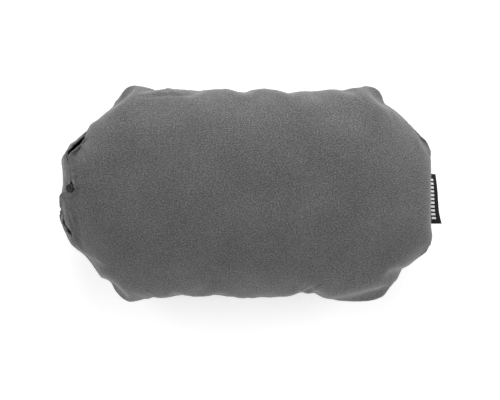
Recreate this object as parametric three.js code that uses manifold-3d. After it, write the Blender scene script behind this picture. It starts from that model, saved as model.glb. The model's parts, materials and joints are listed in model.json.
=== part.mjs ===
// Inflatable camp pillow in a soft removable cover.
//
// A two-sheet air bladder with inner baffles lies in a two-panel knit cover. The cover is an
// elongated octagon in plan. Its narrow left end is an elasticated mouth that the bladder goes
// in through and that the push-pull air valve looks out of. A folded label is sewn into the
// right end. Millimetres, +X along the pillow, +Y across it, +Z up; it lies on z = 0.

import * as THREE from 'three';
import { LoftGeometry } from 'three/addons/geometries/LoftGeometry.js';
import { mergeVertices } from 'three/addons/utils/BufferGeometryUtils.js';
import Module from 'manifold-3d';

const wasm = await Module();
wasm.setup();

// ---- Driving dimensions -------------------------------------------------------------------

const X_LEFT = -279; // the two ends of the seam line
const X_RIGHT = 279;
const HALF_WIDTH = 160; // from the middle to each long edge
const THICKNESS = 140;
const SEAM_Z = 60; // height of the seam all round
const BELLY = 68; // depth of the lower half before the ground flattens it
const END_ROLL = 190; // length over which each end tapers down to the seam
const END_POWER = 0.35; // how full the nose of each end is; less is blunter
const SECTION_POWER = 2.4; // 2 is an ellipse; more is a flatter top with fuller sides
const CORNER_BLEND = 22; // how softly the edges meet in plan

// Each slanted edge in plan: how far out it is at its own end, and how steeply it widens.
const SLANT = {
  backLeft: { start: 58, slope: 0.97 },
  backRight: { start: 66, slope: 1.06 },
  frontLeft: { start: 48, slope: 1.16 },
  frontRight: { start: 82, slope: 0.9 },
};

const FABRIC = 1.2; // thickness of the brushed knit
const FILM = 0.5; // thickness of the coated bladder sheet
const GAP = 0.3; // clearance between pieces that touch

const BLADDER = { edge: 8.5, face: 4.6, rim: 4 }; // insets from the cover, and the weld's width
const BAFFLE = { y: 52, length: 380, thickness: 0.5 };

// The mouth: where the parting line leaves the seam, how high it climbs, and its turn in plan.
const MOUTH = { startX: -240, lipX: -263, lipZ: 103, turn: THREE.MathUtils.degToRad(-7) };
const HEM_WIDTH = 9;
const ELASTIC = { near: 2.5, far: 7.5, thickness: 0.8 };
const BARTACK = { length: 9, height: 3, thickness: 0.7 };

// The valve's axis passes through the middle of the knob's top face. Distances along it are
// counted from there, so those below the face are negative.
const VALVE = {
  top: [-262, 7.5, 110],
  tilt: THREE.MathUtils.degToRad(34),
  flangeR: 12,
  flangeThickness: 1.2,
  neckR: 4.2,
  boreR: 3,
  tubeBottom: -24,
  headR: 5.1,
  headBottom: -5,
  headTop: -2.2,
};
const KNOB = { r: 6.7, length: 10, roof: 1.8, cavityR: 5.45, lip: 1.2, lipR: 4.5, holeR: 2.2, ribs: 16 };
const O_RING = { r: 4.75, section: 0.5, z: -3.6 };
const PLUG = { pinR: 1.2, headR: 1.9, headTop: -0.2, headBottom: -3, bottom: -22, spokes: 3 };

const LABEL = { back: 30.5, front: -45.5, clear: 1, projection: 18, thickness: 0.5, fold: 0.5, droop: 28 };
const CARE_LABEL = { back: 70, front: 42, length: 46, thickness: 0.4 };

const STATIONS = 25; // cross-sections along the pillow
const RING = 36; // points round each cross-section
const ROUND = 40; // sides of the valve's round pieces

// ---- Solids -------------------------------------------------------------------------------

// A closed three.js geometry as a manifold-3d solid, with vertices at one place merged.
function solid(geometry) {
  const plain = new THREE.BufferGeometry().copy(geometry);
  plain.deleteAttribute('normal');
  plain.deleteAttribute('uv');
  const merged = mergeVertices(plain, 1e-4);
  return new wasm.Manifold(
    new wasm.Mesh({
      numProp: 3,
      vertProperties: new Float32Array(merged.attributes.position.array),
      triVerts: new Uint32Array(merged.index.array),
    }),
  );
}

function geometryOf(manifold) {
  const mesh = manifold.getMesh();
  const geometry = new THREE.BufferGeometry();
  geometry.setAttribute('position', new THREE.BufferAttribute(mesh.vertProperties, 3));
  geometry.setIndex(new THREE.BufferAttribute(mesh.triVerts, 1));
  geometry.computeVertexNormals();
  return geometry;
}

// A box from its lowest and highest corners.
function block(low, high) {
  const size = high.map((value, i) => value - low[i]);
  const centre = high.map((value, i) => (value + low[i]) / 2);
  return solid(new THREE.BoxGeometry(...size).translate(...centre));
}

// Everything between two heights, given in either order.
function level(a, b) {
  return block([-400, -400, Math.min(a, b)], [400, 400, Math.max(a, b)]);
}

// Closed in profile: [radius, height] pairs turned about Z, bottom to top.
function turned(profile, sides = ROUND) {
  const points = profile.map(([r, z]) => new THREE.Vector2(r, z));
  return solid(new THREE.LatheGeometry(points, sides).rotateX(Math.PI / 2));
}

function cylinder(r, bottom, top, sides = ROUND) {
  return turned([[0, bottom], [r, bottom], [r, top], [0, top]], sides);
}

// ---- The pillow's form --------------------------------------------------------------------

// The smaller of two lengths, rounded off where they cross.
function softMin(a, b) {
  return (a + b - Math.hypot(a - b, CORNER_BLEND)) / 2;
}

// How far the outline is from the middle line, on the side with these two slants, once every
// edge has moved in by inset.
function halfOutline(x, left, right, inset) {
  const fromLeft = left.start + left.slope * (x - X_LEFT) - inset * Math.hypot(1, left.slope);
  const fromRight = right.start + right.slope * (X_RIGHT - x) - inset * Math.hypot(1, right.slope);
  return softMin(HALF_WIDTH - inset, softMin(fromLeft, fromRight));
}

const outlineBack = (x, inset) => halfOutline(x, SLANT.backLeft, SLANT.backRight, inset);
const outlineFront = (x, inset) => -halfOutline(x, SLANT.frontLeft, SLANT.frontRight, inset);

// 0 at an end of the pillow, 1 once the taper is over.
function endTaper(distance, roll) {
  const t = Math.min(Math.max(distance / roll, 0), 1);
  return (1 - (1 - t) ** 2) ** END_POWER;
}

// The whole form, smaller by edgeInset in plan and by faceInset in height.
function pillowForm(edgeInset, faceInset) {
  const left = X_LEFT + edgeInset;
  const right = X_RIGHT - edgeInset;
  const roll = END_ROLL - edgeInset;
  const sections = [];
  for (let i = 0; i < STATIONS; i++) {
    const x = (left + right) / 2 - ((right - left) / 2) * Math.cos((Math.PI * i) / (STATIONS - 1));
    const back = outlineBack(x, edgeInset);
    const front = outlineFront(x, edgeInset);
    const taper = Math.max(endTaper(x - left, roll) * endTaper(right - x, roll), 0.012);
    sections.push(crossSection(x, back, front, taper, faceInset));
  }
  return solid(new LoftGeometry(sections, { capStart: true, capEnd: true }));
}

// One ring across the pillow: a superellipse whose underside the ground flattens.
function crossSection(x, back, front, taper, faceInset) {
  const middle = (back + front) / 2;
  const half = (back - front) / 2;
  const points = [];
  for (let k = 0; k < RING; k++) {
    const angle = (2 * Math.PI * k) / RING;
    const across = Math.sign(Math.cos(angle)) * Math.abs(Math.cos(angle)) ** (2 / SECTION_POWER);
    const up = Math.sign(Math.sin(angle)) * Math.abs(Math.sin(angle)) ** (2 / SECTION_POWER);
    const depth = (up > 0 ? THICKNESS - SEAM_Z : BELLY) - faceInset;
    const z = Math.max(SEAM_Z + depth * taper * up, faceInset);
    points.push(new THREE.Vector3(x, middle + half * across, z));
  }
  return points;
}

// A skin that follows the cover's outer face, between two depths below it.
function coverLayer(outer, inner) {
  return pillowForm(outer, outer).subtract(pillowForm(inner, inner));
}

// ---- The mouth ----------------------------------------------------------------------------

// Everything below the cover's parting surface moved up by rise (or above it, with side 1). It
// runs level with the seam and climbs over the left end, where it is turned a little in plan.
function partingBlock(side, rise) {
  const far = 400;
  const profile = new THREE.Shape();
  profile.moveTo(far, SEAM_Z + rise);
  profile.lineTo(MOUTH.startX, SEAM_Z + rise);
  profile.lineTo(MOUTH.lipX, MOUTH.lipZ + rise);
  profile.lineTo(-far, MOUTH.lipZ + rise);
  profile.lineTo(-far, side * far);
  profile.lineTo(far, side * far);
  const geometry = new THREE.ExtrudeGeometry(profile, { depth: 2 * far, bevelEnabled: false });
  geometry.translate(0, 0, -far).rotateX(Math.PI / 2);
  geometry.translate(-MOUTH.startX, 0, 0).rotateZ(MOUTH.turn).translate(MOUTH.startX, 0, 0);
  return solid(geometry);
}

// The lens-shaped gap between the lips, through the cover along the valve's axis.
function mouthGap(margin) {
  const lens = new THREE.Shape();
  lens.absellipse(0, 8, 8.5 + margin, 40 + margin, 0, 2 * Math.PI);
  const geometry = new THREE.ExtrudeGeometry(lens, { depth: 60, bevelEnabled: false, curveSegments: 20 });
  return solid(geometry.translate(0, 0, -40).applyMatrix4(valveFrame()));
}

// ---- The valve's own frame ----------------------------------------------------------------

// Its origin is the middle of the knob's top face and its Z is the way the knob pulls out.
function valveFrame() {
  const turn = new THREE.Matrix4().makeRotationY(-VALVE.tilt);
  return new THREE.Matrix4().makeTranslation(...VALVE.top).multiply(turn);
}

// ---- Sub-parts ----------------------------------------------------------------------------

const MATERIALS = {
  knit: { color: 0x626262, roughness: 0.95 },
  film: { color: 0x4a4e52, roughness: 0.6 },
  elastic: { color: 0x2c2c2c, roughness: 0.9 },
  thread: { color: 0x555555, roughness: 0.9 },
  label: { color: 0x101010, roughness: 0.7 },
  satin: { color: 0xe6e6e2, roughness: 0.5 },
  plastic: { color: 0x1b1b1b, roughness: 0.4 },
  moulding: { color: 0x2e3032, roughness: 0.5 },
  seal: { color: 0x161616, roughness: 0.8 },
};

const pillow = new THREE.Group();

function add(name, material, geometry, parent = pillow) {
  const mesh = new THREE.Mesh(geometry, new THREE.MeshStandardMaterial({ ...MATERIALS[material], metalness: 0 }));
  mesh.name = name;
  parent.add(mesh);
  return mesh;
}

function addCover() {
  const skin = coverLayer(0, FABRIC);
  const half = GAP / 2;
  const top = skin.subtract(partingBlock(-1, half)).subtract(mouthGap(0));
  const bottom = skin.subtract(partingBlock(1, -half)).subtract(mouthGap(0));
  add('cover_top_panel', 'knit', geometryOf(top));
  add('cover_bottom_panel', 'knit', geometryOf(bottom));
}

// The seam allowance, turned in and overlocked, all round except across the mouth.
function addSeam() {
  const outer = FABRIC + GAP;
  const ring = coverLayer(outer, outer + 2 * FABRIC);
  const allowance = block([MOUTH.startX + 16, -200, SEAM_Z - 4], [300, 200, SEAM_Z + 4]);
  add('perimeter_seam', 'thread', geometryOf(ring.intersect(allowance)));
}

// A strip just inside one lip, from near to far away from its edge. Side -1 is the upper lip.
function lipStrip(side, layer, near, far) {
  const end = block([-400, -200, 0], [MOUTH.startX + 12, 200, 200]);
  const within = partingBlock(side, -side * far).add(mouthGap(far));
  const edge = partingBlock(side, -side * near).add(mouthGap(near));
  const strip = layer.intersect(end).intersect(within).subtract(edge);
  return largest(strip);
}

// The biggest of a solid's separate bodies; slivers where a strip runs out are dropped.
function largest(manifold) {
  return manifold.decompose().sort((a, b) => b.volume() - a.volume())[0];
}

// Each lip is a fold of fabric over a flat elastic, closed at both ends with a bar tack.
function addMouth() {
  const elasticDepth = FABRIC + GAP;
  const hemDepth = elasticDepth + ELASTIC.thickness + GAP;
  const elasticLayer = coverLayer(elasticDepth, elasticDepth + ELASTIC.thickness);
  const hemLayer = coverLayer(hemDepth, hemDepth + FABRIC);
  for (const [name, side] of [['upper', -1], ['lower', 1]]) {
    add(`mouth_elastic_${name}`, 'elastic', geometryOf(lipStrip(side, elasticLayer, ELASTIC.near, ELASTIC.far)));
    add(`mouth_hem_${name}`, 'knit', geometryOf(lipStrip(side, hemLayer, GAP, HEM_WIDTH)));
  }
  const proud = pillowForm(-GAP - BARTACK.thickness, 0).subtract(pillowForm(-GAP, 0));
  for (const [name, y] of [['back', 1], ['front', -1]]) {
    const x = MOUTH.startX + (y < 0 ? -8 : 2);
    const low = [x - BARTACK.length / 2, y > 0 ? 0 : -200, SEAM_Z - BARTACK.height / 2];
    const high = [x + BARTACK.length / 2, y > 0 ? 200 : 0, SEAM_Z + BARTACK.height / 2];
    add(`bartack_${name}`, 'thread', geometryOf(largest(proud.intersect(block(low, high)))));
  }
}

// Two sheets, open towards each other, whose flat rims are welded together.
function addBladder() {
  const { edge, face, rim } = BLADDER;
  const air = pillowForm(edge + FILM, face + FILM);
  const skin = pillowForm(edge, face).subtract(air);
  const flange = pillowForm(edge - rim, face).subtract(air);
  const hole = cylinder(VALVE.neckR + 2 * GAP, -30, 10).transform(valveFrame().elements);
  for (const [name, side] of [['top', 1], ['bottom', -1]]) {
    const near = SEAM_Z + (side * GAP) / 2;
    const weld = flange.intersect(level(near, near + side * FILM));
    const half = skin.intersect(level(near, near + side * 200));
    add(`bladder_${name}_sheet`, 'film', geometryOf(half.add(weld).subtract(hole)));
  }
  addBaffles(pillowForm(edge + FILM + GAP, face + FILM + GAP));
}

// Upright webs that hold the two sheets a set distance apart, so that the top stays level.
function addBaffles(inside) {
  for (const [name, y] of [['back', BAFFLE.y], ['front', -BAFFLE.y]]) {
    const half = BAFFLE.length / 2;
    const web = block([-half, y - BAFFLE.thickness / 2, 0], [half, y + BAFFLE.thickness / 2, 200]);
    add(`bladder_baffle_${name}`, 'film', geometryOf(web.intersect(inside)));
  }
}

// A moulded base: a thin flange that follows the sheet from inside, and the tube through it.
function addValveBase() {
  const depth = FILM + GAP;
  const { edge, face } = BLADDER;
  const outer = pillowForm(edge + depth, face + depth);
  const inner = pillowForm(edge + depth + VALVE.flangeThickness, face + depth + VALVE.flangeThickness);
  const reach = cylinder(VALVE.flangeR, -30, 10).transform(valveFrame().elements);
  const flange = outer.subtract(inner).intersect(reach).intersect(level(SEAM_Z + 1, 200));
  const grooveLow = O_RING.z - O_RING.section - 0.1;
  const grooveHigh = O_RING.z + O_RING.section + 0.1;
  const tube = turned([
    [0, VALVE.tubeBottom], [VALVE.neckR, VALVE.tubeBottom], [VALVE.neckR, VALVE.headBottom],
    [VALVE.headR, VALVE.headBottom], [VALVE.headR, grooveLow], [O_RING.r - O_RING.section - 0.1, grooveLow],
    [O_RING.r - O_RING.section - 0.1, grooveHigh], [VALVE.headR, grooveHigh], [VALVE.headR, VALVE.headTop],
    [0, VALVE.headTop],
  ]).transform(valveFrame().elements);
  const bore = cylinder(VALVE.boreR, VALVE.tubeBottom - 1, VALVE.headTop + 1).transform(valveFrame().elements);
  add('valve_base', 'moulding', geometryOf(flange.add(tube).subtract(bore)));
}

// The fixed centre pin whose head closes the knob's hole; spokes stand it in the tube.
function addValvePlug(valve) {
  let plug = turned([
    [0, PLUG.bottom], [PLUG.pinR, PLUG.bottom], [PLUG.pinR, PLUG.headBottom - 1],
    [PLUG.headR, PLUG.headBottom], [PLUG.headR, PLUG.headTop - 0.4], [PLUG.headR - 0.4, PLUG.headTop],
    [0, PLUG.headTop],
  ]);
  for (let i = 0; i < PLUG.spokes; i++) {
    const spoke = new THREE.BoxGeometry(VALVE.boreR - 0.4, 0.9, 3).translate((VALVE.boreR - 0.4) / 2, 0, PLUG.bottom + 1.5);
    plug = plug.add(solid(spoke.rotateZ((2 * Math.PI * i) / PLUG.spokes)));
  }
  add('valve_plug', 'plastic', geometryOf(plug), valve);
}

// The pull knob: a ribbed cap with a hole for air in its dished roof and a lip that stops it.
function addValveKnob(valve) {
  const bottom = -KNOB.length;
  let knob = turned([
    [0, bottom], [KNOB.r, bottom], [KNOB.r, -0.9], [KNOB.r - 0.9, 0], [KNOB.r - 2.2, 0], [KNOB.r - 2.8, -0.5],
    [0, -0.5],
  ]);
  knob = knob.subtract(cylinder(KNOB.lipR, bottom - 1, bottom + KNOB.lip + 0.1));
  knob = knob.subtract(cylinder(KNOB.cavityR, bottom + KNOB.lip, -KNOB.roof));
  knob = knob.subtract(cylinder(KNOB.holeR, -KNOB.roof - 0.1, 1));
  for (let i = 0; i < KNOB.ribs; i++) {
    const groove = new THREE.CylinderGeometry(0.45, 0.45, KNOB.length, 8).rotateX(Math.PI / 2);
    groove.translate(KNOB.r + 0.15, 0, -KNOB.length / 2 - 1.6).rotateZ((2 * Math.PI * (i + 0.5)) / KNOB.ribs);
    knob = knob.subtract(solid(groove));
  }
  add('valve_knob', 'plastic', geometryOf(knob), valve);
}

function addValve() {
  addValveBase();
  const valve = new THREE.Group();
  valve.applyMatrix4(valveFrame());
  pillow.add(valve);
  add('valve_o_ring', 'seal', new THREE.TorusGeometry(O_RING.r, O_RING.section, 10, ROUND).translate(0, 0, O_RING.z), valve);
  addValvePlug(valve);
  addValveKnob(valve);
}

// A woven strip folded in half, its two ends caught in the right end's seam.
function addLabels() {
  const { projection, thickness, fold } = LABEL;
  const half = thickness + fold / 2;
  const strip = new THREE.Shape();
  strip.moveTo(0, half);
  strip.lineTo(projection - half, half);
  strip.absarc(projection - half, 0, half, Math.PI / 2, -Math.PI / 2, true);
  strip.lineTo(0, -half);
  strip.lineTo(0, -fold / 2);
  strip.lineTo(projection - half, -fold / 2);
  strip.absarc(projection - half, 0, fold / 2, -Math.PI / 2, Math.PI / 2, false);
  strip.lineTo(0, fold / 2);
  const length = LABEL.back - LABEL.front;
  const geometry = new THREE.ExtrudeGeometry(strip, { depth: length, bevelEnabled: false, curveSegments: 8 });
  const label = add('end_label', 'label', geometry.translate(0, 0, -LABEL.back).rotateX(Math.PI / 2));
  label.position.set(X_RIGHT + LABEL.clear, 0, SEAM_Z);
  label.rotation.y = THREE.MathUtils.degToRad(LABEL.droop);

  const depth = FABRIC + GAP + 2 * FABRIC + GAP;
  const layer = coverLayer(depth, depth + CARE_LABEL.thickness);
  const low = [X_RIGHT - CARE_LABEL.length, CARE_LABEL.front, SEAM_Z + 1.5];
  const area = block(low, [X_RIGHT, CARE_LABEL.back, 200]);
  add('care_label', 'satin', geometryOf(largest(layer.intersect(area))));
}

addCover();
addSeam();
addMouth();
addBladder();
addValve();
addLabels();

// The origin is under the middle of the whole pillow, label included, on the ground.
const bounds = new THREE.Box3().setFromObject(pillow, true);
const centre = bounds.getCenter(new THREE.Vector3());
pillow.position.set(-centre.x, -centre.y, -bounds.min.z);
const part = new THREE.Group();
part.add(pillow);

export default part;
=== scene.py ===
"""Looks for the inflatable camp pillow: a knit cover pulled over an air bladder.

The cover is two flat panels sewn along their rim. A small position-based cloth solver lays them
over the bladder's form. The mouth, its hems, the stitches and the labels then follow that cloth.
Lengths inside are millimetres in the pillow's own frame, whose X starts from the middle of the
seam line; to_row() turns them into metres in the row frame.
"""

import json
import math

import bmesh
import bpy
import numpy as np
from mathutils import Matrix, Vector, kdtree


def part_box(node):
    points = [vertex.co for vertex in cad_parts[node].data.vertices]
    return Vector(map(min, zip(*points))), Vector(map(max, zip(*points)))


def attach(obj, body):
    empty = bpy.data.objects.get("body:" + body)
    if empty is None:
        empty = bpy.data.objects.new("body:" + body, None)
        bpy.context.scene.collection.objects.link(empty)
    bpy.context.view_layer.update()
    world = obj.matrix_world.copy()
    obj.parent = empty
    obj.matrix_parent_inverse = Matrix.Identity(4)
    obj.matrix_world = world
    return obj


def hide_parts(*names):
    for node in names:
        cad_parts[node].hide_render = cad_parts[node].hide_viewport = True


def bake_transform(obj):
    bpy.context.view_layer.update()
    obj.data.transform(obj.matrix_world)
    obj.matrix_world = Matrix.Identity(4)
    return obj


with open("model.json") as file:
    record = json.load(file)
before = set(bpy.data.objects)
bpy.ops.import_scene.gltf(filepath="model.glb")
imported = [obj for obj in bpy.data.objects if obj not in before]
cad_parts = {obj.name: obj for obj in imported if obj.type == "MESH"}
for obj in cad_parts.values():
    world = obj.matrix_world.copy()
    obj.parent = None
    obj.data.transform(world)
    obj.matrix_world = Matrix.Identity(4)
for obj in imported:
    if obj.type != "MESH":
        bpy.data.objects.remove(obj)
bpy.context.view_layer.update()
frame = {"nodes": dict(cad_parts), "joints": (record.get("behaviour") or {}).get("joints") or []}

# ---- The pillow's form, as in the CAD part ----

X_LEFT, X_RIGHT = -279.0, 279.0
HALF_WIDTH = 160.0
THICKNESS = 140.0
SEAM_Z = 60.0
BELLY = 68.0
END_ROLL = 190.0
END_POWER = 0.35
SECTION_POWER = 2.4
CORNER_BLEND = 22.0
SLANTS = {  # where each slanted side starts on its end and how steep it is, left and right
    "back": ((58, 0.97), (66, 1.06)),
    "front": ((48, 1.16), (82, 0.9)),
}

BLADDER_FACE = 4.6
KNIT = 1.1
FILM_THICKNESS = 0.5
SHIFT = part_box("cover_bottom_panel")[0].x * 1000 - X_LEFT  # the pillow's frame in the row frame


def to_row(points):
    return (np.asarray(points, float) + [SHIFT, 0, 0]) * 0.001


def half_outline(x, side, inset):
    (left, left_slope), (right, right_slope) = SLANTS[side]
    a = left + left_slope * (x - X_LEFT) - inset * math.hypot(1, left_slope)
    b = right + right_slope * (X_RIGHT - x) - inset * math.hypot(1, right_slope)
    ab = (a + b - np.hypot(a - b, CORNER_BLEND)) / 2
    c = HALF_WIDTH - inset
    return (ab + c - np.hypot(ab - c, CORNER_BLEND)) / 2


def taper(x, inset):
    out = 1.0
    for d in (x - X_LEFT - inset, X_RIGHT - inset - x):
        t = np.clip(d / (END_ROLL - inset), 1e-4, 1)
        out = out * (1 - (1 - t) ** 2) ** END_POWER
    return out


def bladder_inset(x):
    """How far the bladder's edge lies inside the outline: least round the valve."""
    t = np.clip((x + 240) / 50, 0, 1)
    return 8.5 + 5.0 * t * t * (3 - 2 * t)


def form(p, edge, face):
    """Below 0 inside the form made smaller by edge in plan and face in height, above 0 outside."""
    x, y, z = p[..., 0], p[..., 1], p[..., 2]
    back, front = half_outline(x, "back", edge), -half_outline(x, "front", edge)
    half = np.maximum((back - front) / 2, 1.0)
    height = np.where(z > SEAM_Z, THICKNESS - SEAM_Z, BELLY) - face
    depth = height * np.maximum(taper(x, edge), 0.02)
    across = np.abs(y - (back + front) / 2) / half
    f = across**SECTION_POWER + (np.abs(z - SEAM_Z) / depth) ** SECTION_POWER
    return f ** (1 / SECTION_POWER) - 1


def onto_form(p, edge, face, both_ways=False):
    """Each point's way to the form's surface; only those inside move unless both_ways."""
    f = form(p, edge, face)
    slope = np.empty_like(p)
    for k in range(3):
        q = p.copy()
        q[..., k] += 0.5
        slope[..., k] = (form(q, edge, face) - f) / 0.5
    step = -f / np.maximum((slope**2).sum(-1), 1e-8)
    if not both_ways:
        step = np.where(f < 0, step, 0)
    move = slope * step[..., None]
    size = np.linalg.norm(move, axis=-1, keepdims=True)
    return move * np.minimum(1, 6.0 / np.maximum(size, 1e-9))


# ---- Curves and noise ----


def spline(points, per_span=12):
    """A smooth curve through the points."""
    p = np.array(points, float)
    p = np.vstack([2 * p[0] - p[1], p, 2 * p[-1] - p[-2]])
    t = (np.arange(per_span) / per_span)[:, None]
    out = []
    for k in range(1, len(p) - 2):
        a, b, c, d = p[k - 1 : k + 3]
        curved = (2 * a - 5 * b + 4 * c - d) * t**2
        out.append(0.5 * (2 * b + (c - a) * t + curved + (3 * b - a - 3 * c + d) * t**3))
    return np.vstack([*out, p[-2]])


def lengths_along(points):
    return np.r_[0, np.cumsum(np.linalg.norm(np.diff(points, axis=0), axis=1))]


def resample(points, count):
    s = lengths_along(points)
    t = np.linspace(0, s[-1], count)
    return np.stack([np.interp(t, s, points[:, k]) for k in range(points.shape[1])], 1)


def unit(v):
    return v / np.maximum(np.linalg.norm(v, axis=-1, keepdims=True), 1e-9)


def smooth_line(v, rounds=4):
    """Evens out a line of points or directions, keeping its ends."""
    v = v.copy()
    for _ in range(rounds):
        v[1:-1] = (v[:-2] + 2 * v[1:-1] + v[2:]) / 4
    return v


def grid_normals(p, side):
    """The outward normals of an upper panel's grid of points, for side +1, or a lower one's."""
    return unit(np.cross(np.gradient(p, axis=0), np.gradient(p, axis=1)) * side)


def eased(t):
    """0 to 1 turned into a smooth 0 to 1."""
    return t * t * (3 - 2 * t)


def hill(x, y, a, b, reach):
    """1 at (a, b), falling off smoothly around it."""
    return np.exp(-((x - a) ** 2 + (y - b) ** 2) / reach**2)


def noise_1d(s, wavelength, seed):
    """Smooth noise of size about 1 along a length."""
    knots = np.random.default_rng(seed).standard_normal(4096)
    t = np.asarray(s) / wavelength + 100
    i = np.floor(t).astype(int)
    f = eased(t - i)
    return (knots[i % 4096] * (1 - f) + knots[(i + 1) % 4096] * f) * 1.2


def noise_2d(x, y, wavelength, seed):
    """Smooth noise of size about 1 over a plane."""
    grid = np.random.default_rng(seed).standard_normal((256, 256))
    tx, ty = np.asarray(x) / wavelength + 60, np.asarray(y) / wavelength + 60
    i, j = np.floor(tx).astype(int), np.floor(ty).astype(int)
    fx, fy = eased(tx - i), eased(ty - j)
    low = grid[i % 256, j % 256] * (1 - fx) + grid[(i + 1) % 256, j % 256] * fx
    high = grid[i % 256, (j + 1) % 256] * (1 - fx) + grid[(i + 1) % 256, (j + 1) % 256] * fx
    return (low * (1 - fy) + high * fy) * 1.4


# ---- The cover's patterns ----

# The sewn rim in plan. Each long side runs from the valve end to the label end; the puffed
# corners stand out a little and the edges between them pull in.
BACK_RIM = [
    (-272, 61), (-257, 74), (-246, 82), (-237.5, 91), (-222.5, 108.5), (-207.5, 121.5),
    (-195, 138), (-188, 147), (-181, 156), (-171, 161), (-157, 162), (-141, 159.5), (-128, 156),
    (-113, 157), (-89, 154), (-65, 156), (-35, 156), (-5, 153.5), (32, 155), (60, 151), (92, 151),
    (116, 153), (140, 156), (164, 160), (188, 161), (203, 153), (210, 139), (220, 129), (236, 114),
    (260, 91), (272, 80), (278, 68), (280, 58),
]
FRONT_RIM = [
    (-275, -48), (-273, -60), (-263, -76), (-254, -87), (-236, -106), (-214, -126), (-203, -135),
    (-198, -143), (-191, -152), (-182, -159), (-171, -163), (-157, -162), (-139, -158),
    (-113, -155), (-65, -151.5), (-5, -156), (32, -156), (66, -152), (86, -147), (100, -147),
    (114, -156), (138, -162), (164, -164), (189, -162), (208, -153), (216, -142), (226, -132),
    (236, -116), (246, -105), (257, -98), (271, -89), (278, -78),
]
RIGHT_RIM = [
    (280, 58), (276, 40), (273.5, 20), (272.5, -10), (272.5, -35), (276.5, -57), (278, -78),
]
LEFT_RIM = [
    (-272, 61), (-273, 45), (-273, 25), (-274, 10), (-276, -8), (-276, -20), (-274, -34),
    (-275, -48),
]

# The mouth's two lips, from the back bar tack round the valve's stem to the front one.
UPPER_LIP = [
    (-232.5, 96, 63), (-234, 88, 80), (-238, 79.5, 89.5), (-244.5, 71.5, 93.5), (-251.5, 65, 95),
    (-258, 60.5, 95.5), (-262.3, 55, 97), (-262, 47.5, 99.5), (-260, 38, 102.5), (-258, 28, 106),
    (-255.5, 19.5, 108.5), (-253.2, 12.5, 110.8), (-253.3, 5.8, 110.2), (-257, 0.5, 107),
    (-264, 0, 102), (-272, 0, 96), (-276.7, -3.5, 89), (-277.3, -13.5, 81), (-275, -23, 77),
    (-273, -32, 76), (-271.5, -40, 79.5), (-268.5, -47, 83), (-262, -54.5, 86.5),
    (-252.5, -63.5, 84),
]
LOWER_LIP = [
    (-233, 96.5, 62), (-240.5, 93.5, 66), (-248.5, 83, 71), (-257, 74, 79), (-264.8, 65.5, 86),
    (-269.5, 59.5, 91), (-268.5, 51, 96), (-264.5, 41, 100.5), (-261.5, 28, 103), (-260, 19, 103),
    (-262, 13, 100), (-265, 8, 97), (-267, 3, 94), (-269, -2, 89), (-270.5, -9, 82),
    (-272, -17, 75), (-272.5, -26, 70), (-273.5, -35, 69.5), (-274, -44.5, 69),
    (-269.5, -52.5, 71), (-263.5, -61, 74.5), (-255.5, -66.5, 78),
]
MOUTH_BACK_X, MOUTH_FRONT_X = -233, -240  # where the mouth leaves the rim on each side

MIDDLE_STRETCH, RIM_SLACK, CORNER_SLACK, LIP_SLACK = 0.004, 0.027, 0.04, 0.02  # shares of length
GROUND, DETAIL_GROUND = 0.3, 0.25  # the lowest a point may be, before and after details

COLUMNS, ROWS = 117, 61
COLUMN_PITCH = 4.6
WRAP = 7  # extra columns of the lower panel, which wraps up round the valve end
WRAP_STEP = [0.8, 0, 4.5]  # from each of those columns to the next
PUFFED_CORNERS = [(-172, 160), (195, 158), (200, -158), (-180, -160)]
GATHERED_CORNERS = [*PUFFED_CORNERS, (262, -92), (272, 74)]
# Middle, reach and share of the places where each panel is cut with less slack.
TIGHT = {
    1: [(-246, 80, 30, 0.1), (-277, -28, 36, 0.1), (274, 72, 26, 0.045)],
    -1: [(-288, -28, 34, 0.055), (274, 72, 26, 0.045)],
}
# Middle, reach and depth of the places where the cloth is drawn in, or stands out where below 0.
DENTS = [
    *[(x, y, 32, -4.0) for x, y in PUFFED_CORNERS],
    (-104, 160, 14, -3.5), (-128, -160, 16, -3.0), (50, 158, 14, -2.5), (68, 158, 10, 1.5),
    (88, -156, 24, 5.5), (-73, -156, 18, 1.0), (130, 158, 14, -3.0), (216, -142, 14, 2.0),
    (-257, -80, 26, -6.0), (-232, 105, 17, -6.5), (-283, -30, 20, 7.5), (-280, -16, 14, 3.0),
    (282, 12, 32, 3.5), (284, -35, 22, 5.5),
]

back_rim = resample(spline(BACK_RIM), COLUMNS)
front_rim = resample(spline(FRONT_RIM), COLUMNS)
right_rim = resample(spline(RIGHT_RIM), ROWS)[::-1]
left_rim = resample(spline(LEFT_RIM), ROWS)[::-1]
MOUTH_BACK = int(np.argmin(abs(back_rim[:, 0] - MOUTH_BACK_X)))
MOUTH_FRONT = int(np.argmin(abs(front_rim[:, 0] - MOUTH_FRONT_X)))


def plan_grid():
    """Points spread evenly inside the rim, a column for each point of the long sides."""
    u = np.linspace(0, 1, COLUMNS)[:, None, None]
    v = np.linspace(0, 1, ROWS)[None, :, None]
    sides = front_rim[:, None] * (1 - v) + back_rim[:, None] * v
    ends = left_rim[None] * (1 - u) + right_rim[None] * u
    near = front_rim[0] * (1 - v) + back_rim[0] * v
    far = front_rim[-1] * (1 - v) + back_rim[-1] * v
    return sides + ends - near * (1 - u) - far * u


def lip_points(extra):
    """Row and column of each of a panel's lip vertices, from the back bar tack to the front one."""
    back = [(i, ROWS - 1) for i in range(MOUTH_BACK + extra, 0, -1)]
    end = [(0, j) for j in range(ROWS - 1, -1, -1)]
    front = [(i, 0) for i in range(1, MOUTH_FRONT + extra + 1)]
    return tuple(np.array(back + end + front).T)


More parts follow.
